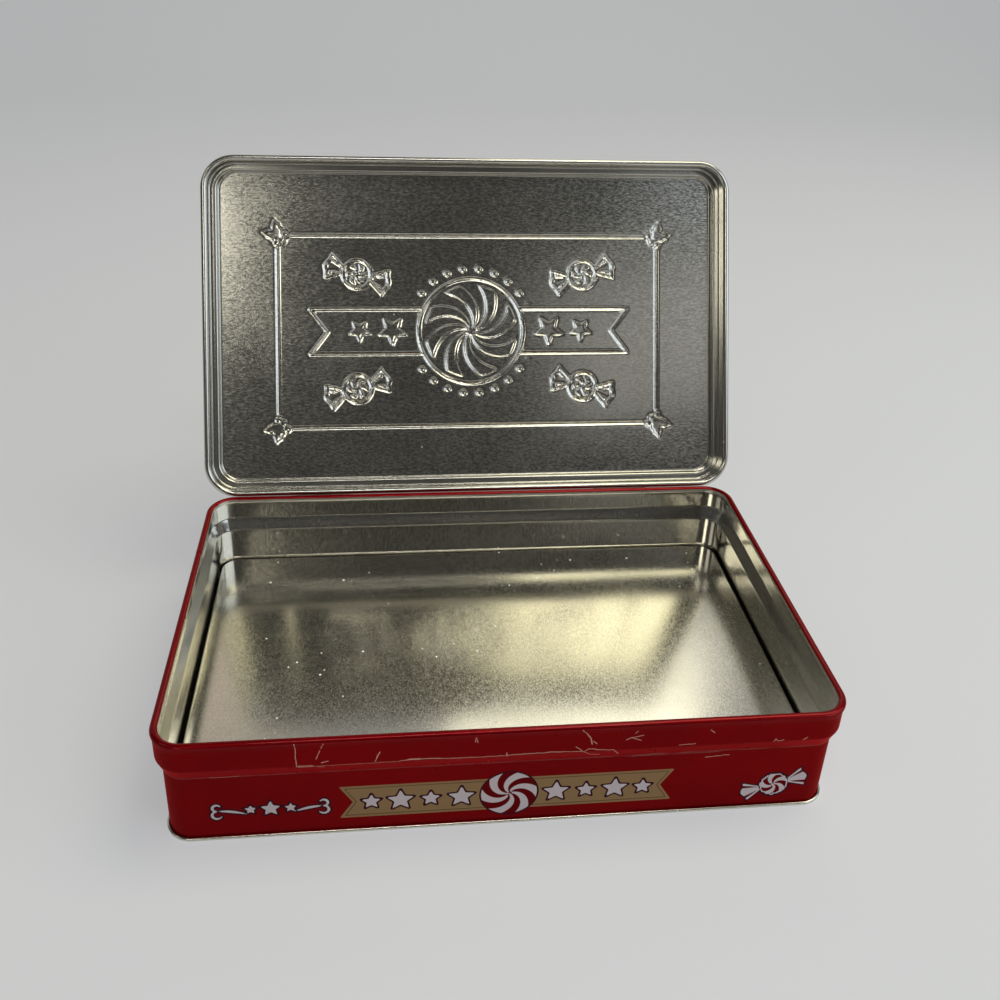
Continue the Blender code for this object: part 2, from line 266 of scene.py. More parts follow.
# The shoulder is a straight slope, eased into the neck and into the wall by points that are given
# from its top and from its foot
top_bend = [(0, 0.0005), (-0.00004, 0.0002), (-0.00014, -0.0001), (-0.00028, -0.0004),
            (-0.00085, -0.0019)]
foot_bend = [(0.00077, 0.0018), (0.00024, 0.0004), (0.00011, 0.0001), (0.00003, -0.0002),
             (0, -0.0005)]
rim_centre = HEIGHT - RIM_RADIUS
under_rim = (-0.00038, HEIGHT - 0.00212)
neck_top = HEIGHT - 2 * RIM_RADIUS - 0.0004
wall_profile = np.concatenate([
    arc(-RIM_RADIUS, rim_centre, RIM_RADIUS - SHEET / 2, 250, -35, 19),
    straight(under_rim, (NECK, neck_top), 2),
    straight((NECK, neck_top), (NECK, SHOULDER_TOP + 0.0009), 4),
    np.add(top_bend, (NECK, SHOULDER_TOP)),
    np.add(foot_bend, (WALL, SHOULDER_FOOT)),
    straight((WALL, SHOULDER_FOOT - 0.0005), (WALL, PRINT_TOP), 3),
    straight((WALL, PRINT_TOP), (WALL, PRINT_FOOT), PRINT_ROWS),
    straight((WALL, PRINT_FOOT), (WALL, FLANGE_TOP), 2),
    arc(WALL + FOOT_FLANGE, FLANGE_Z + FOOT_FLANGE, FOOT_FLANGE, 180, 270, 4),
    straight((WALL + FOOT_FLANGE, FLANGE_Z), (WALL + SHEET / 2 + FOOT_FLANGE, FLANGE_Z), 1),
])
wall = carried(wall_profile, feet, normals)

# The print on the front is a generic one: a level ribbon with a swirled sweet in its middle and
# stars on both arms, a wrapped sweet at the right end, and stars between two flourishes at the left
PRINT_Z = 13.6
SMALL_SWEET = (96.2, 10.6, 5.4)
on_front = (normals[None, :, 1] < -0.99) & (wall[..., 2] < SHOULDER_FOOT - 0.0004)
px, pz = wall[..., 0] * MM, wall[..., 2] * MM
ribbon = np.maximum(polygon_distance(px, pz, swallowtail(58.5, 14.6, 4.6, PRINT_Z)), -1.5)
motif, swirled = swirl(px, pz, 0, PRINT_Z, 9.8, 6, 1.3)
small, small_swirl = swirl(px, pz, *SMALL_SWEET, 5, 1.2)
twists, pleats = wrapped_sweet(px, pz, *SMALL_SWEET, 11.9, 0.30)
motif = np.minimum(motif, np.minimum(small, twists))
swirled = np.minimum(swirled, np.where(small < -0.5, small_swirl, FAR))
swirled = np.minimum(swirled, np.where((small > 0.4) & (twists < 1.0), pleats, FAR))
plum_ring = (small > -0.5) & (small < 0.25)
motif = np.where(plum_ring, np.maximum(motif, 0.05), motif)
for side in (-1, 1):
    for place, size in ((16.6, 4.9), (27.2, 3.6), (37.6, 4.9), (47.6, 3.6)):
        motif = np.minimum(motif, polygon_distance(px, pz, star(side * place, PRINT_Z - 0.3, size)))
for place, size in ((-88.3, 2.3), (-81.6, 3.7), (-74.9, 2.3)):
    motif = np.minimum(motif, polygon_distance(px, pz, star(place, PRINT_Z - 0.9, size)))
for place, facing in ((-66.6, 1), (-96.6, -1)):
    for points, widths in flourish(place, PRINT_Z - 1.0, 4.6, facing):
        motif = np.minimum(motif, stroke_distance(px, pz, points, widths))
steps = np.diff(wall_profile, axis=0, prepend=wall_profile[:1])
along_profile = np.cumsum(np.hypot(*steps.T)) * MM
wall_fields = {
    "from_cut": np.broadcast_to(along_profile[:, None], wall.shape[:2]),
    "ribbon": np.where(on_front, ribbon, 2.0),
    "motif": np.where(on_front, motif, 2.0),
    "arms": np.where(on_front, swirled, 1.0),
}


class Nodes:
    """Adds nodes to a tree: a call makes one, sets its inputs or links them, and returns it."""

    def __init__(self, tree):
        self.tree = tree
        self.column = 0

    def add(self, kind, inputs=(), **settings):
        node = self.tree.nodes.new(kind)
        self.column += 1
        node.location = (self.column * 190 - 2400, -(self.column % 4) * 230)
        for key, value in settings.items():
            setattr(node, "node_tree" if key == "tree" else key, value)
        for socket, value in dict(inputs).items():
            self.put(value, node.inputs[socket])
        return node

    def put(self, value, socket):
        """Link a socket to another, or set its own value."""
        if isinstance(value, bpy.types.NodeSocket):
            self.tree.links.new(value, socket)
        else:
            socket.default_value = value

    def math(self, operation, a, b=0.0, clamp=False):
        return self.add("ShaderNodeMath", {0: a, 1: b}, operation=operation,
                        use_clamp=clamp).outputs[0]

    def vector(self, operation, a, b=(0, 0, 0)):
        return self.add("ShaderNodeVectorMath", {0: a, 1: b}, operation=operation).outputs

    def ramp(self, value, low, high, to_low=0.0, to_high=1.0):
        """Smoothstep of the value from low to high."""
        return self.add("ShaderNodeMapRange", {"Value": value, "From Min": low, "From Max": high,
                                               "To Min": to_low, "To Max": to_high},
                        interpolation_type="SMOOTHSTEP").outputs[0]

    def inside(self, distance, edge):
        """1 inside an outline, from the distance to it, easing to 0 within edge on both sides."""
        return self.ramp(distance, -edge, edge, 1, 0)

    def near(self, value, place, full, none):
        """1 up to full away from a place, easing to 0 at none."""
        away = self.math("ABSOLUTE", self.math("SUBTRACT", value, place))
        return self.ramp(away, full, none, 1, 0)

    def mix(self, share, a, b):
        return self.add("ShaderNodeMix", {0: share, 6: a, 7: b}, data_type="RGBA").outputs[2]

    def noise(self, vector, scale, detail=3.0, roughness=0.55):
        return self.add("ShaderNodeTexNoise", {"Vector": vector, "Scale": scale, "Detail": detail,
                                               "Roughness": roughness}).outputs[0]

    def scaled(self, vector, scale):
        return self.add("ShaderNodeMapping", {"Vector": vector, "Scale": scale}).outputs[0]

    def split(self, vector):
        return self.add("ShaderNodeSeparateXYZ", {"Vector": vector}).outputs

    def joined(self, x, y, z):
        return self.add("ShaderNodeCombineXYZ", {"X": x, "Y": y, "Z": z}).outputs[0]

    def bump(self, height, strength, distance, **normal):
        return self.add("ShaderNodeBump", {"Height": height, "Strength": strength,
                                           "Distance": distance, **normal}).outputs[0]

    def field(self, name):
        return self.add("ShaderNodeAttribute", attribute_name=name).outputs["Fac"]

    def group(self, tree, inputs):
        return self.add("ShaderNodeGroup", inputs, tree=tree).outputs


def new_group(name, inputs, outputs):
    """An empty node group with named sockets, and its tree, Nodes helper, inputs and outputs.

    Inputs are (name, type, value), and outputs (name, type)."""
    tree = bpy.data.node_groups.new(name, "ShaderNodeTree")
    for label, kind, value in inputs:
        socket = tree.interface.new_socket(label, in_out="INPUT", socket_type=kind)
        if value is not None:
            socket.default_value = value
    for label, kind in outputs:
        tree.interface.new_socket(label, in_out="OUTPUT", socket_type=kind)
    nodes = Nodes(tree)
    return tree, nodes, nodes.add("NodeGroupInput").outputs, nodes.add("NodeGroupOutput").inputs


def new_finish(name):
    """A material with its Principled shader's sockets, and a Nodes helper for its tree."""
    material = bpy.data.materials.new(name)
    material.use_nodes = True
    return material, material.node_tree.nodes["Principled BSDF"].inputs, Nodes(material.node_tree)


# Printed colours: a tan ribbon with a dark line inside its border, and motifs that are white with a
# plum border and have their swirled arms and pleats in the ground's own red. An ink eases out over
# INK_EDGE to each side of its outline
INK_EDGE = 0.07
PLUM_BORDER = 0.65
TAN, PLUM, WHITE = (0.47, 0.295, 0.140, 1), (0.070, 0.008, 0.022, 1), (0.96, 0.84, 0.88, 1)
printed_design, n, given, out = new_group(
    "printed_design",
    [("Ribbon", "NodeSocketFloat", 1.0), ("Motif", "NodeSocketFloat", 1.0),
     ("Arms", "NodeSocketFloat", 1.0), ("Ground", "NodeSocketColor", (0.3, 0, 0, 1))],
    [("Color", "NodeSocketColor"), ("Ink", "NodeSocketFloat")])
on_ribbon = n.inside(given["Ribbon"], INK_EDGE)
inner_line = n.math("MULTIPLY", n.ramp(given["Ribbon"], -1.30, -1.15),
                    n.ramp(given["Ribbon"], -0.95, -0.80, 1, 0))
bordered = n.inside(n.math("SUBTRACT", given["Motif"], PLUM_BORDER), INK_EDGE)
whole = n.inside(given["Motif"], INK_EDGE)
colour = n.mix(on_ribbon, given["Ground"], TAN)
colour = n.mix(n.math("MULTIPLY", inner_line, 0.6), colour, PLUM)
colour = n.mix(bordered, colour, PLUM)
sweet_colour = n.mix(n.inside(given["Arms"], INK_EDGE), WHITE, given["Ground"])
colour = n.mix(whole, colour, sweet_colour)
n.put(colour, out["Color"])
n.put(n.math("MAXIMUM", on_ribbon, bordered), out["Ink"])

# Scratch: 1 within a width of the segment A-B in the X-Z plane, easing to 0. The mask of the ones
# before it comes in as the place's Y, and the new mask leaves in the same way.
scratch, n, given, out = new_group(
    "scratch",
    [("Place", "NodeSocketVector", None), ("A", "NodeSocketVector", (0, 0, 0)),
     ("B", "NodeSocketVector", (0, 0, 0)), ("Width", "NodeSocketFloat", 0.0003)],
    [("Place", "NodeSocketVector")])
x, mask, z = n.split(given["Place"])
run = n.vector("SUBTRACT", given["B"], given["A"])[0]
point = n.vector("SUBTRACT", n.joined(x, 0.0, z), given["A"])[0]
along = n.math("DIVIDE", n.vector("DOT_PRODUCT", point, run)["Value"],
               n.vector("DOT_PRODUCT", run, run)["Value"], clamp=True)
nearest = n.add("ShaderNodeVectorMath", {0: run, "Scale": along}, operation="SCALE").outputs[0]
distance = n.vector("LENGTH", n.vector("SUBTRACT", point, nearest)[0])["Value"]
mask = n.math("MAXIMUM", mask, n.ramp(n.math("DIVIDE", distance, given["Width"]), 0.4, 1.0, 1, 0))
n.put(n.joined(x, mask, z), out["Place"])

# Red lacquer ground: a faint cloud in its colour and gloss, and the ripple of a stoved film
RED, CLOUD_RED = (0.235, 0.0012, 0.0036, 1), (0.20, 0.0010, 0.0030, 1)
red_ground, n, given, out = new_group(
    "red_ground", [("Vector", "NodeSocketVector", None)],
    [("Color", "NodeSocketColor"), ("Roughness", "NodeSocketFloat"), ("Height", "NodeSocketFloat")])
cloud = n.noise(given["Vector"], 35)
n.put(n.mix(n.ramp(cloud, 0.3, 0.7), RED, CLOUD_RED), out["Color"])
n.put(n.ramp(n.noise(given["Vector"], 120), 0.3, 0.7, 0.27, 0.36), out["Roughness"])
n.put(n.noise(given["Vector"], 420, 2), out["Height"])

# Sheet grain: short dashes along the roll and finer specks, and a broad cloud of handling marks
tinplate_grain, n, given, out = new_group(
    "tinplate_grain",
    [("Along", "NodeSocketVector", None), ("Vector", "NodeSocketVector", None)],
    [("Mottle", "NodeSocketFloat"), ("Height", "NodeSocketFloat"), ("Cloud", "NodeSocketFloat")])
dashes = n.noise(given["Along"], 1.0, 2.0, 0.6)
speck = n.noise(given["Vector"], 2300, 1.0, 0.5)
n.put(n.math("ADD", n.math("MULTIPLY", dashes, 0.7), n.math("MULTIPLY", speck, 0.3)), out["Mottle"])
n.put(n.math("ADD", n.math("MULTIPLY", dashes, 0.6), n.math("MULTIPLY", speck, 0.4)), out["Height"])
n.put(n.noise(given["Vector"], 24, 3, 0.5), out["Cloud"])

# Embossing: crisp edges of the pressed shapes, and round beads along the drawn lines, from 0 to 1.
# Away is the line's distance without its sign, and takes off the false beads that come where the
# sign changes between two shapes
embossing, n, given, out = new_group(
    "embossing", [("Pressed", "NodeSocketFloat", 3.0), ("Line", "NodeSocketFloat", 3.0),
                  ("Away", "NodeSocketFloat", 3.0)],
    [("Height", "NodeSocketFloat")])
bead = n.math("MULTIPLY", n.ramp(n.math("ABSOLUTE", given["Line"]), 0.0, 1.15, 1, 0),
              n.ramp(given["Away"], 1.5, 1.9, 1, 0))
n.put(n.math("MAXIMUM", n.inside(given["Pressed"], 0.34), bead), out["Height"])

# How far the embossing's edges stand out, and the colours of bare tin and of dust
EMBOSSED_EDGE = 0.00025
BARE_TIN = (0.62, 0.61, 0.565)
DUST = (0.90, 0.89, 0.86, 1)


def bare_tinplate(name, tint, roughness, grain_scale, contrast, bump, dust, relief=False):
    """Satin tinplate: metallic, its tint, gloss and surface moved by the grain, with a few pale
    specks of dust. Where relief is set, the lid's embossing is pressed in, and the grain keeps to
    the level parts, as the bends of the edge are drawn bright."""
    material, shader, n = new_finish(name)
    place = n.add("ShaderNodeTexCoord").outputs["Object"]
    grain = n.group(tinplate_grain, {"Along": n.scaled(place, grain_scale), "Vector": place})
    dark, light = [tuple(c * (1 + contrast * share) for c in tint) + (1,)
                   for share in (-0.30, 0.16)]
    level = n.field("level") if relief else 1.0
    mottle = n.math("MULTIPLY", n.math("SUBTRACT", grain["Mottle"], 0.5), level)
    mottle = n.math("ADD", mottle, 0.5)
    colour = n.mix(n.ramp(mottle, 0.36, 0.64), dark, light)
    cell = n.add("ShaderNodeTexVoronoi", {"Vector": place, "Scale": 400.0}).outputs
    size_chance, dust_chance, _ = n.split(cell["Color"])
    speck_size = n.ramp(size_chance, 0, 1, 0.09, 0.20)
    speck = n.math("MULTIPLY", n.math("LESS_THAN", cell["Distance"], speck_size),
                   n.math("LESS_THAN", dust_chance, dust))
    n.put(n.mix(speck, colour, DUST), shader["Base Color"])
    n.put(n.math("SUBTRACT", 1.0, speck), shader["Metallic"])
    low, high = roughness
    patchy = n.math("ADD", n.math("MULTIPLY", grain["Cloud"], 0.3),
                    n.math("MULTIPLY", mottle, 0.7))
    n.put(n.ramp(patchy, 0.36, 0.64, low, high), shader["Roughness"])
    normal = n.bump(n.math("MULTIPLY", grain["Height"], level), 1.0, bump)
    if relief:
        height = n.group(embossing, {"Pressed": n.field("pressed"), "Line": n.field("line"),
                                     "Away": n.field("away")})[0]
        normal = n.bump(n.math("MULTIPLY", height, -1.0), 1.0, EMBOSSED_EDGE, Normal=normal)
    n.put(normal, shader["Normal"])
    return material


wall_tin = bare_tinplate("wall tinplate inside", BARE_TIN, (0.11, 0.19), (1300, 1300, 420),
                         contrast=0.12, bump=0.0000006, dust=0.008)

# Outside, the wall is printed and lacquered. The shoulder's slope is mixed half way to a brighter
# red, a painted highlight that stands for light falling on it from above
SLOPE_HIGHLIGHT_RED, RED_EDGE = (0.62, 0.006, 0.018, 1), (1.0, 0.03, 0.05, 1)
RUBBED_RED, SCRATCHED = (0.62, 0.26, 0.23, 1), (0.95, 0.54, 0.41, 1)
wall_red, shader, n = new_finish("wall red lacquer print")
place = n.add("ShaderNodeTexCoord").outputs["Object"]
x, y, z = n.split(place)
ground = n.group(red_ground, {"Vector": place})
# Painted highlight: the band over the shoulder's slope where the red is mixed brighter
painted_slope_highlight = n.math("MULTIPLY", n.ramp(z, SHOULDER_FOOT, SHOULDER_FOOT + 0.0008),
                 n.ramp(z, SHOULDER_TOP - 0.0006, SHOULDER_TOP + 0.0002, 1, 0))
ground_colour = n.mix(n.math("MULTIPLY", painted_slope_highlight, 0.5), ground["Color"], SLOPE_HIGHLIGHT_RED)
design = n.group(printed_design, {"Ribbon": n.field("ribbon"), "Motif": n.field("motif"),
                                  "Arms": n.field("arms"), "Ground": ground_colour})

# Wear: scratches on the front, in millimetres, as x, z to x, z and half width, with frayed edges
SCRATCHES = (
    (-72.2, 44.0, -71.9, 33.4, 0.20), (-71.2, 33.4, -66.8, 33.5, 0.75),
    (-62.9, 43.4, -63.6, 41.2, 0.20), (-64.1, 40.2, -65.5, 36.6, 0.20),
    (-44.5, 38.3, -46.0, 34.4, 0.24), (-63.7, 34.8, -61.5, 35.4, 0.24),
    (-65.0, 33.0, -63.0, 32.2, 0.22), (-66.6, 33.2, -38.3, 33.6, 0.24),
    (-38.3, 33.6, -35.2, 34.2, 0.24), (-35.2, 34.2, -31.3, 34.2, 0.50),
    (-31.3, 34.2, -26.3, 34.1, 0.26), (-26.3, 34.1, -20.7, 33.6, 0.24),
    (-20.7, 33.6, -5.6, 33.6, 0.34), (-5.6, 33.6, 4.6, 34.0, 0.32),
    (4.6, 34.0, 13.6, 34.2, 0.26), (13.6, 34.2, 24.6, 33.7, 0.24),
    (24.6, 33.7, 26.2, 34.8, 0.22), (26.2, 34.8, 33.2, 33.7, 0.22),
    (33.2, 33.7, 34.9, 33.8, 0.26), (34.9, 33.8, 37.0, 30.6, 0.30),
    (21.8, 35.9, 24.6, 33.4, 0.22), (24.6, 33.4, 27.1, 31.3, 0.24),
    (27.1, 31.3, 30.4, 30.8, 0.24), (-2.0, 35.0, -1.7, 32.9, 0.26),
    (-12.9, 40.7, -12.5, 43.0, 0.20), (-12.5, 43.0, -12.0, 40.2, 0.20),
    (23.5, 43.8, 25.0, 42.0, 0.26), (25.0, 42.0, 26.7, 39.3, 0.26),
    (26.7, 39.3, 27.2, 37.0, 0.26), (27.6, 38.2, 28.8, 37.1, 0.24),
    (38.9, 38.1, 40.6, 39.1, 0.24), (40.6, 39.1, 44.8, 39.6, 0.22),
    (40.9, 38.9, 44.2, 37.4, 0.20), (41.9, 40.9, 42.7, 41.8, 0.20),
    (68.3, 40.7, 69.8, 39.2, 0.22), (91.7, 33.6, 92.4, 34.8, 0.24),
    (92.4, 34.8, 93.4, 33.8, 0.22), (93.4, 33.8, 95.2, 34.2, 0.26),
    (102.2, 33.8, 103.8, 34.8, 0.24), (57.8, 34.4, 63.6, 34.6, 0.18),
    (-100.6, 28.5, -90.9, 28.6, 0.20), (69.0, 25.6, 77.5, 26.3, 0.18),
)
frayed = n.add("ShaderNodeTexNoise", {"Vector": place, "Scale": 420.0}).outputs["Color"]
frayed = n.vector("SUBTRACT", frayed, (0.5, 0.5, 0.5))[0]
frayed = n.vector("MULTIPLY", frayed, (0.0007, 0.0, 0.0007))[0]
flat = n.vector("ADD", n.joined(x, 0.0, z), frayed)[0]
for ax, az, bx, bz, width in SCRATCHES:
    flat = n.group(scratch, {"Place": flat, "A": (ax / MM, 0, az / MM),
                             "B": (bx / MM, 0, bz / MM), "Width": width / MM})[0]
at_front = n.math("LESS_THAN", y, MIDDLE_Y - DEPTH / 2 + 0.004)
worn = n.math("MULTIPLY", n.split(flat)[1], at_front)

# Rubbed lines along both bends of the shoulder, broken into streaks. At the front the lower one is
# wider between 40 and 80 mm right of the middle, and the upper one is left out
streaky = n.noise(n.scaled(place, (110, 110, 1500)), 1.0, 4, 0.62)
foot_line = n.near(z, SHOULDER_FOOT + 0.0002, 0.00014, 0.00040)
foot_line = n.math("MULTIPLY", foot_line, n.ramp(streaky, 0.42, 0.54, 0.30, 1.0))
heavier = n.math("MULTIPLY", n.near(x, 0.060, 0.016, 0.022), at_front)
scuffed = n.math("MULTIPLY", n.near(z, SHOULDER_FOOT + 0.0001, 0.0003, 0.0009), heavier)
scuffed = n.math("MULTIPLY", scuffed, n.ramp(streaky, 0.46, 0.53))
top_line = n.math("MULTIPLY", n.near(z, SHOULDER_TOP, 0.0001, 0.0004), n.ramp(streaky, 0.56, 0.60))
top_line = n.math("MULTIPLY", top_line, n.math("SUBTRACT", 1.0, at_front))
rubbed = n.math("MAXIMUM", scuffed, top_line)
rubbed = n.math("MAXIMUM", n.math("MULTIPLY", foot_line, 0.80), rubbed)
bared = n.math("MAXIMUM", worn, rubbed)
colour = n.mix(n.math("MULTIPLY", rubbed, 0.75), design["Color"], RUBBED_RED)
colour = n.mix(n.math("MULTIPLY", worn, 0.9), colour, SCRATCHED)

# A bare margin at the rolled edge's cut, and a thicker clear coat over the top of the rim
margin = n.math("ADD", n.field("from_cut"), n.math("MULTIPLY", streaky, 0.3))
margin = n.ramp(margin, 2.20, 2.35, 1, 0)
n.put(n.mix(margin, colour, BARE_TIN + (1,)), shader["Base Color"])
marked = n.math("MAXIMUM", design["Ink"], bared)
lacquered = n.math("MULTIPLY", n.math("SUBTRACT", 1.0, marked), 0.55)
n.put(n.math("MAXIMUM", lacquered, margin), shader["Metallic"])
n.put(n.mix(margin, RED_EDGE, (1, 1, 1, 1)), shader["Specular Tint"])
n.put(ground["Roughness"], shader["Roughness"])
thick = n.ramp(z, HEIGHT - 1.2 * RIM_RADIUS, HEIGHT - 0.6 * RIM_RADIUS, 0.07, 0.30)
n.put(n.math("MULTIPLY", thick, n.math("SUBTRACT", 1.0, bared)), shader["Coat Weight"])
shader["Coat Roughness"].default_value = 0.08
shader["Specular IOR Level"].default_value = 0.0

# The weld at the back and all wear lie a little below the lacquer
at_weld = n.math("MULTIPLY", n.math("GREATER_THAN", y, MIDDLE_Y), n.near(x, 0.0, 0.0001, 0.0006))
height = n.math("SUBTRACT", n.math("MULTIPLY", ground["Height"], 0.08),
                n.math("MAXIMUM", bared, at_weld))
n.put(n.bump(height, 0.3, 0.00005), shader["Normal"])

wall_faces = strip_faces(len(wall_profile), len(feet)).tolist()
body_wall = new_piece("tin_body_wall", wall, wall_faces, wall_fields, [wall_red, wall_tin])
body_wall.data.transform(Matrix.Translation((0, MIDDLE_Y, 0)))
give_sheet(body_wall, 1)
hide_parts("body_wall")
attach(body_wall, "base")


# Bottom panel: a bare tinplate pressing. Its edge is hemmed over the wall's foot flange, which
# makes the bright ring that the tin stands on, and inside it the floor is pressed up, with a narrow
# dark groove left between the floor and the wall.
FLOOR_HEIGHT = 0.0130
CHANNEL_WIDTH = 0.0009
FLOOR_BEND = 0.0009
FLOOR_STRETCH = 0.0004
FLOOR_HALF_X = 0.108
FLOOR_HALF_Y = 0.0625
FLOOR_PITCH = 0.0035
SAG = 0.00012
SEAM_GAP = 0.0002
SEAM_BEND = 0.0004
BORDER = 0.0008


def bridge(inner, outer, inner_numbers, outer_numbers):
    """Triangles between two closed loops that go anticlockwise, with different numbers of points.

    Both loops are walked at once, in the order of their sides' middles by angle about the panel's
    middle, and each side makes a triangle with the point that the other loop has come to."""
    def middles(loop):
        angle = np.unwrap(np.arctan2(loop[:, 1] / DEPTH, loop[:, 0] / LENGTH))
        return (angle + np.append(angle[1:], angle[0] + 2 * math.pi)) / 2

    def come_to(marks, at):
        rounds = np.concatenate([marks - 2 * math.pi, marks, marks + 2 * math.pi])
        return (np.searchsorted(rounds, at) - len(marks)) % len(marks)

    inner_mid, outer_mid = middles(inner), middles(outer)
    outer_tips = outer_numbers[come_to(outer_mid, inner_mid)]
    inner_tips = inner_numbers[come_to(inner_mid, outer_mid)]
    on_inner = np.stack([inner_numbers, outer_tips, np.roll(inner_numbers, -1)], 1)
    on_outer = np.stack([outer_numbers, np.roll(outer_numbers, -1), inner_tips], 1)
    return np.concatenate([on_inner, on_outer])


def panel_grid(half_x, half_y, pitch, shift=0.0):
    """Places of an even grid on the flat of a panel, moved towards the back by shift."""
    x = np.linspace(-half_x, half_x, round(2 * half_x / pitch) + 1)
    y = np.linspace(-half_y, half_y, round(2 * half_y / pitch) + 1) + shift
    return np.meshgrid(x, y, indexing="ij")


def pressed_panel(x, y, height, profile):
    """A grid on a panel's flat, and a profile carried round it as its edge: points and faces."""
    top = np.stack([x, y, height], -1).reshape(-1, 3)
    number = np.arange(x.size).reshape(x.shape)
    border = np.concatenate([number[-1, :-1], number[::-1, -1][:-1], number[0, ::-1][:-1],
                             number[:-1, 0]])
    along_x, along_y = spaced((LENGTH / 2 - CORNER, 0.0080)), spaced((DEPTH / 2 - CORNER, 0.0080))
    rings = carried(profile, *plan_outline(along_x, along_x, along_y))
    columns = rings.shape[1]
    first_ring = len(top) + np.arange(columns)
    faces = grid_faces(number).tolist()
    faces += bridge(top[border], rings[0], border, first_ring).tolist()
    faces += strip_faces(len(profile), columns, len(top)).tolist()
    return np.concatenate([top, rings.reshape(-1, 3)]), faces


riser = WALL - SHEET - CHANNEL_WIDTH
floor_edge = riser - FLOOR_BEND
floor_z = FLOOR_HEIGHT - SHEET / 2
hem_z = FLANGE_Z + SHEET + SEAM_GAP
seam = WALL + SHEET / 2 + FOOT_FLANGE + SEAM_GAP + SHEET / 2
floor_profile = np.concatenate([
    [(floor_edge - BORDER, floor_z)],
    arc(floor_edge, floor_z - FLOOR_BEND, FLOOR_BEND, 90, 0, 7),
    straight((riser, FLOOR_HEIGHT - FLOOR_BEND), (riser, 0.0006), 4),
    arc(riser + SEAM_BEND, SHEET / 2 + SEAM_BEND, SEAM_BEND, 180, 270, 4),
    straight((riser + SEAM_BEND, SHEET / 2), (seam - SEAM_BEND, SHEET / 2), 3),
    arc(seam - SEAM_BEND, SHEET / 2 + SEAM_BEND, SEAM_BEND, -90, 0, 4)[1:],
    arc(seam - SEAM_BEND, hem_z - SEAM_BEND, SEAM_BEND, 0, 90, 4),
    straight((seam - SEAM_BEND, hem_z), (WALL + SHEET / 2 + SEAM_GAP, hem_z), 1),
])

# The floor sags a little in slow waves that fade out at its edges, and it reaches slightly further
# to the front and the back than to the sides
x, y = panel_grid(FLOOR_HALF_X, FLOOR_HALF_Y, FLOOR_PITCH)
fade = np.clip(1 - (x / FLOOR_HALF_X) ** 4, 0, 1) * np.clip(1 - (y / FLOOR_HALF_Y) ** 4, 0, 1)
waves = np.sin(31 * x + 0.6) * np.cos(47 * y + 0.4) - 0.6 * np.cos(17 * x - 24 * y) - 0.5
floor_points, floor_faces = pressed_panel(x, y, floor_z + SAG * fade * waves, floor_profile)
stretch = 1 + FLOOR_STRETCH / (DEPTH / 2 + riser)
floor_points[:, 1] *= np.where(floor_points[:, 2] > 0.002, stretch, 1)
floor_tin = bare_tinplate("floor tinplate", (0.70, 0.672, 0.585), (0.11, 0.21), (1900, 1000, 1900),
                          contrast=0.6, bump=0.000009, dust=0.06)
bottom_panel = new_piece("tin_bottom_panel", floor_points, floor_faces, {}, [floor_tin])
bottom_panel.data.transform(Matrix.Translation((0, MIDDLE_Y, 0)))
give_sheet(bottom_panel, 0)
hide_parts("bottom_panel")
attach(bottom_panel, "base")


# Lid: one tinplate pressing, red print outside and bare inside. Its skirt ends in a curl rolled
# outwards, a flat ring rests on the body's rim, and the raised panel is embossed with a line frame
# with a leaf sprig at each corner, a sweet on a ribbon with stars, and four wrapped sweets.
GAP = 0.0003
LID_CLEARANCE = 0.0006
LID_OVERLAP = 0.0080
LID_CURL = 0.0014
SEAT_WIDTH = 0.0032
PLATEAU = 0.0038
LID_BEND = 0.0006
RELIEF_BORDER = 0.0104
RELIEF_PITCH = 0.00076
FRAME_INSET = 0.0265
EMBOSSING_SHIFT = 0.0025
OPEN_ANGLE = math.radians(113.5)
HINGE_Y = MIDDLE_Y + 0.07945
HINGE_Z = 0.03955
skirt = LID_CLEARANCE + SHEET / 2
seat_z = HEIGHT + GAP + SHEET / 2
plateau_z = seat_z + PLATEAU
ring_end = skirt - SEAT_WIDTH
plateau_out = ring_end - SHEET
edge_z = HEIGHT + GAP - LID_OVERLAP
roll = LID_CURL - SHEET / 2
lid_edge = plateau_out - LID_BEND
lid_profile = np.concatenate([
    [(lid_edge - BORDER, plateau_z)],
    arc(lid_edge, plateau_z - LID_BEND, LID_BEND, 90, 5, 6),
    arc(ring_end + LID_BEND, seat_z + LID_BEND, LID_BEND, 180, 270, 6),
    straight((ring_end + LID_BEND, seat_z), (skirt - LID_BEND - 0.0002, seat_z), 2),
    arc(skirt - LID_BEND, seat_z - LID_BEND, LID_BEND, 90, 0, 6),
    straight((skirt, seat_z - LID_BEND), (skirt, edge_z + LID_CURL + 0.0002), 5),
    arc(skirt + roll, edge_z + LID_CURL, roll, -180, 115, 22),
])
FRAME_X = (LENGTH / 2 + plateau_out - FRAME_INSET) * MM
FRAME_Y = (DEPTH / 2 + plateau_out - FRAME_INSET) * MM
x, y = panel_grid(FRAME_X / MM + RELIEF_BORDER, FRAME_Y / MM + RELIEF_BORDER, RELIEF_PITCH,
                  EMBOSSING_SHIFT)
ex, ey = x * MM, (y - EMBOSSING_SHIFT) * MM


def rounded_step(distance, half_width, height):
    """Height of a boss with a flat top: full inside its outline, easing to 0 across the width."""
    t = np.clip(0.5 - distance / (2 * half_width), 0, 1)
    return height * t * t * (3 - 2 * t)


def leaf(x, y, cx, cy, length, width, direction):
    """Distance to a leaf with a wavy edge: |v| < width sin(pi t^0.8) (1 - 0.3 |cos(3.5 pi t)|).

    t runs along its middle line from the stalk, and v across."""
    c, s = math.cos(direction), math.sin(direction)
    t = ((x - cx) * c + (y - cy) * s) / length
    v = np.abs((y - cy) * c - (x - cx) * s)
    inside = np.clip(t, 0, 1)
    waves = 1 - 0.30 * np.abs(np.cos(3.5 * math.pi * inside))
    edge = width * np.sin(math.pi * inside ** 0.8) * waves
    return np.maximum(v - edge, np.maximum(-t, t - 1) * length)


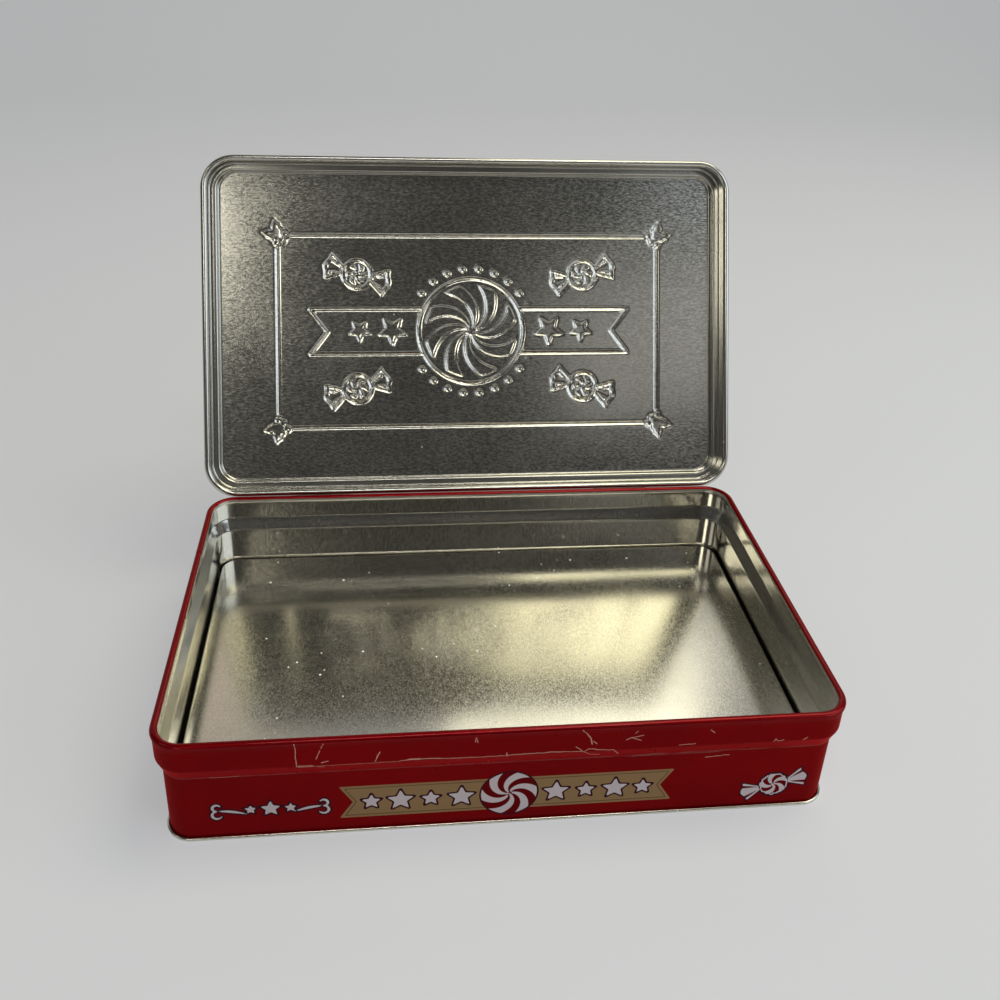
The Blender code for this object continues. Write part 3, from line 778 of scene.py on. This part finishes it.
# Embossing in millimetres from the panel's middle; ax, ay fold the four corners onto one
LID_SWEET = 25.0
CORNER_SWEET = (54, 27.0, 6.6)
PEARLS = 24
PEARL_RING = 29.6
PEARL_RADIUS = 1.45
FIELD_END = 3.0
ax, ay = np.abs(ex), np.abs(ey)
frame_line = np.maximum(ax - FRAME_X, ay - FRAME_Y)
banner = polygon_distance(ex, ey, swallowtail(76, 21, 8))
sweet, sweet_arms = swirl(ex, ey, 0, 0, LID_SWEET, 8, 1.15)
small, small_arms = swirl(ax, ay, *CORNER_SWEET, 6, 1.2)
twists, pleats = wrapped_sweet(ax, ay, *CORNER_SWEET, 15.0, 0.30)
sprig = np.minimum(leaf(ax, ay, FRAME_X - 2.0, FRAME_Y - 1.0, 9.4, 2.9, 0.26),
                   leaf(ax, ay, FRAME_X - 1.0, FRAME_Y - 2.0, 9.4, 2.9, 1.31))
for cx, cy in ((-3.9, 0.2), (0.2, -3.9), (-2.4, -2.4)):
    sprig = np.minimum(sprig, np.hypot(ax - FRAME_X - cx, ay - FRAME_Y - cy) - 1.5)
stars = np.full(ex.shape, FAR)
for side in (-1, 1):
    for place, size in ((37.5, 7.4), (53.0, 5.6)):
        stars = np.minimum(stars, polygon_distance(ex, ey, star(side * place, -0.4, size)))
pearl_turn = (np.arctan2(ey, ex) / (2 * math.pi) * PEARLS) % 1 - 0.5
pearl_place = pearl_turn * 2 * math.pi / PEARLS * PEARL_RING
pearls = np.hypot(pearl_place, np.hypot(ex, ey) - PEARL_RING) - PEARL_RADIUS
pearls = np.where(banner > 1.9, pearls, FAR)
arms = np.minimum(np.maximum(sweet_arms, sweet + 3.0), np.maximum(small_arms, small + 1.9))
arms = np.minimum(arms, np.where(small > 0.9, np.maximum(pleats, twists + 1.4), FAR))

# What is pressed whole, and what is drawn as a line along its outline: the nearest of the frame,
# the ribbon and the sweets, each hidden by the sweet that lies over it
pressed = np.minimum.reduce([sprig, stars, pearls, arms])
drawn = np.stack([frame_line, np.where(sweet < 0.5, FAR, banner), sweet, small,
                  np.where(small < 0.6, FAR, twists)])
line = np.take_along_axis(drawn, np.abs(drawn).argmin(0)[None], 0)[0]
line = np.where(sprig < 0.6, FIELD_END, line)
relief = np.maximum(rounded_step(pressed, 0.75, 0.55),
                    0.60 * rounded_step(np.abs(line) - 0.55, 0.60, 1.0))
lid_points, lid_faces = pressed_panel(x, y, plateau_z + relief / MM, lid_profile)

# The grain keeps to the grid and the ring next to it, and the other rings are the edge's bends
pad = len(lid_points) - x.size
level = np.ones(len(lid_points))
level[x.size + pad // len(lid_profile):] = 0


def over_lid(values):
    """A field over the panel's grid, cut off at FIELD_END, which the rings of the edge have too."""
    grid = np.clip(values, -FIELD_END, FIELD_END).ravel()
    return np.concatenate([grid, np.full(pad, FIELD_END)])


motif = np.minimum.reduce([sweet, stars, pearls, small, twists, sprig, np.abs(frame_line) - 0.7])
swirled = np.where(sweet < -0.7, sweet_arms, np.where(small < -0.4, small_arms, FAR))
swirled = np.where((small > 0.4) & (twists < 1.0), pleats, swirled)
lid_fields = {field: over_lid(values) for field, values in (
    ("ribbon", banner), ("motif", motif), ("arms", swirled), ("pressed", pressed), ("line", line),
    ("away", np.abs(line)))}
lid_fields["level"] = level
lid_tin = bare_tinplate("lid tinplate inside", (0.62, 0.605, 0.55), (0.13, 0.24), (560, 1500, 1500),
                        contrast=0.9, bump=0.000004, dust=0.006, relief=True)
RUBBED_RELIEF = (0.60, 0.33, 0.21, 1)
lid_red, shader, n = new_finish("lid red lacquer print")
place = n.add("ShaderNodeTexCoord").outputs["Object"]
ground = n.group(red_ground, {"Vector": place})
design = n.group(printed_design, {"Ribbon": n.field("ribbon"), "Motif": n.field("motif"),
                                  "Arms": n.field("arms"), "Ground": ground["Color"]})
raised = n.group(embossing, {"Pressed": n.field("pressed"), "Line": n.field("line"),
                             "Away": n.field("away")})[0]
rubbed = n.math("MULTIPLY", raised, n.ramp(n.noise(place, 190, 4, 0.65), 0.60, 0.66))
colour = n.mix(n.math("MULTIPLY", rubbed, 0.6), design["Color"], RUBBED_RELIEF)
n.put(colour, shader["Base Color"])
n.put(n.math("MULTIPLY", n.math("SUBTRACT", 1.0, design["Ink"]), 0.55), shader["Metallic"])
n.put(ground["Roughness"], shader["Roughness"])
n.put(n.math("MULTIPLY", n.math("SUBTRACT", 1.0, rubbed), 0.20), shader["Coat Weight"])
shader["Coat Roughness"].default_value = 0.08
shader["Specular IOR Level"].default_value = 0.0
shader["Specular Tint"].default_value = RED_EDGE
height = n.math("ADD", n.math("MULTIPLY", ground["Height"], 0.02), raised)
n.put(n.bump(height, 1.0, EMBOSSED_EDGE), shader["Normal"])

lid = new_piece("tin_lid", lid_points, lid_faces, lid_fields, [lid_red, lid_tin])
lid.data.transform(Matrix.Translation((0, MIDDLE_Y, 0)))
to_axis = Matrix.Translation((0, HINGE_Y, HINGE_Z))
lid.data.transform(to_axis @ Matrix.Rotation(-OPEN_ANGLE, 4, "X") @ to_axis.inverted())
give_sheet(lid, 1)
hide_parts("lid")
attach(lid, "lid")


# Hinges: two small butt hinges of 0.4 mm steel strip behind the tin. Each leaf is spot welded by
# its plate and rolled round a wire pin with peened heads, and they keep the CAD's own shapes.
DULL_STEEL, BRIGHT_STEEL = (0.40, 0.39, 0.36, 1), (0.56, 0.55, 0.51, 1)
hinge_steel, shader, n = new_finish("hinge steel")
place = n.add("ShaderNodeTexCoord").outputs["Object"]
drawn = n.noise(n.scaled(place, (120, 1500, 1500)), 1.0, 4, 0.6)
dull = n.noise(place, 220, 3, 0.6)
n.put(n.mix(n.ramp(dull, 0.35, 0.65), DULL_STEEL, BRIGHT_STEEL), shader["Base Color"])
n.put(n.ramp(drawn, 0.3, 0.7, 0.28, 0.44), shader["Roughness"])
shader["Metallic"].default_value = 1.0
n.put(n.bump(drawn, 0.15, 0.00005), shader["Normal"])
for name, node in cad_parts.items():
    if name.startswith("hinge_"):
        node.data.materials.clear()
        node.data.materials.append(hinge_steel)


# Stage: a plain pale floor that turns up into a backdrop, soft lights, and the photograph's camera.
# Along t, the paper lies flat up to 0.5, bends up to 0.8, and stands upright from there
STAGE_FRONT = -3.0
STAGE_BACK = 1.2
STAGE_BEND = 0.7
STAGE_RISE = 2.2
t = np.linspace(0, 1, 49)[None]
turn = np.clip((t - 0.5) / 0.3, 0, 1) * math.pi / 2
flat_y = STAGE_FRONT + (STAGE_BACK - STAGE_FRONT) * t / 0.5
stage_y = np.where(t < 0.5, flat_y, STAGE_BACK) + STAGE_BEND * np.sin(turn)
stage_z = STAGE_BEND * (1 - np.cos(turn)) + STAGE_RISE * np.clip((t - 0.8) / 0.2, 0, 1)
stage_x = np.linspace(-4, 4, 9)[:, None]
stage_points = np.stack(np.broadcast_arrays(stage_x, stage_y, stage_z), -1)
stage_faces = grid_faces(np.arange(stage_points.size // 3).reshape(stage_points.shape[:2]))

# The paper is brighter where it is seen or mirrored than where it lights the tin
LIT_PAPER, SEEN_PAPER = (0.26, 0.26, 0.265, 1), (0.40, 0.405, 0.415, 1)
PAPER_GLOW = (0.35, 0.355, 0.365, 1)
stage_paper, shader, n = new_finish("stage paper")
path = n.add("ShaderNodeLightPath").outputs
mirrored = n.math("MAXIMUM", path["Is Glossy Ray"], path["Is Transmission Ray"])
seen = n.math("MAXIMUM", path["Is Camera Ray"], mirrored)
n.put(n.mix(seen, LIT_PAPER, SEEN_PAPER), shader["Base Color"])
n.put(n.mix(seen, (0, 0, 0, 1), PAPER_GLOW), shader["Emission Color"])
shader["Emission Strength"].default_value = 1.0
shader["Roughness"].default_value = 0.9
shader["Specular IOR Level"].default_value = 0.1
stage_floor = new_piece("stage_floor", stage_points, stage_faces.tolist(), {}, [stage_paper])


def soft_light(name, place, aim, width, height, power, colour):
    """A rectangular softbox at place, turned to aim, in watts."""
    data = bpy.data.lights.new(name, "AREA")
    data.shape = "RECTANGLE"
    data.size, data.size_y = width, height
    data.energy = power
    data.color = colour
    light = bpy.data.objects.new(name, data)
    light.location = place
    light.rotation_mode = "QUATERNION"
    light.rotation_quaternion = (Vector(aim) - Vector(place)).to_track_quat("-Z", "Y")
    bpy.context.scene.collection.objects.link(light)


for light in (
    ("ceiling_soft", (0.585, 0.12, 1.30), (0.22, 0.05, 0), 0.72, 0.9, 6.4, (1.0, 0.97, 0.74)),
    ("window_soft", (1.08, -0.54, 0.66), (0, 0, 0.05), 1.40, 0.88, 6.4, (0.82, 0.90, 1.0)),
    ("left_soft", (-1.20, -0.40, 1.10), (0, 0, 0.08), 0.5, 0.5, 0.8, (1.0, 0.97, 0.90)),
    ("top_front_soft", (0.06, -0.52, 1.20), (0, 0, 0.05), 0.60, 0.16, 2.4, (1.0, 0.98, 0.93)),
    ("front_left_soft", (-0.54, -1.18, 0.85), (0, 0, 0.12), 0.34, 0.30, 1.3, (1.0, 0.98, 0.86)),
    ("front_right_soft", (0.50, -1.20, 0.65), (0, 0, 0.12), 0.46, 0.30, 0.15, (1.0, 0.99, 0.96)),
    ("back_soft", (0.34, 1.15, 1.22), (0, 0, 0), 0.5, 0.35, 0.9, (1.0, 0.97, 0.80)),
    ("back_left_soft", (-0.36, 1.15, 1.05), (0, 0, 0), 0.30, 0.32, 0.065, (1.0, 0.62, 0.25)),
):
    soft_light(*light)

world = bpy.data.worlds.new("studio")
bpy.context.scene.world = world
world.use_nodes = True
world.node_tree.nodes["Background"].inputs["Color"].default_value = (0.06, 0.06, 0.057, 1)

camera_data = bpy.data.cameras.new("camera")
camera = bpy.data.objects.new("camera", camera_data)
bpy.context.scene.collection.objects.link(camera)
PICTURE_PX = 1000
FOCAL_PX = 1014.6
AXIS_PX = (496.24, 366.75)
CAMERA_PLACE = Vector((-0.04304, -0.32458 + MIDDLE_Y, 0.29878))
CAMERA_TURN = Vector((2.01281, -0.08124, 0.10835))
camera_data.sensor_width = 36.0
camera_data.lens = FOCAL_PX / PICTURE_PX * camera_data.sensor_width
camera_data.shift_x = (PICTURE_PX / 2 - AXIS_PX[0]) / PICTURE_PX
camera_data.shift_y = (AXIS_PX[1] - PICTURE_PX / 2) / PICTURE_PX
seen_rows = Matrix.Rotation(CAMERA_TURN.length, 3, CAMERA_TURN.normalized())
right, down, forward = seen_rows.row[0], seen_rows.row[1], seen_rows.row[2]
axes = Matrix((right, -down, -forward)).transposed().to_4x4()
camera.matrix_world = Matrix.Translation(CAMERA_PLACE) @ axes
camera_data.clip_start, camera_data.clip_end = 0.01, 20
bpy.context.scene.camera = camera
bpy.context.scene.view_settings.view_transform = "Standard"
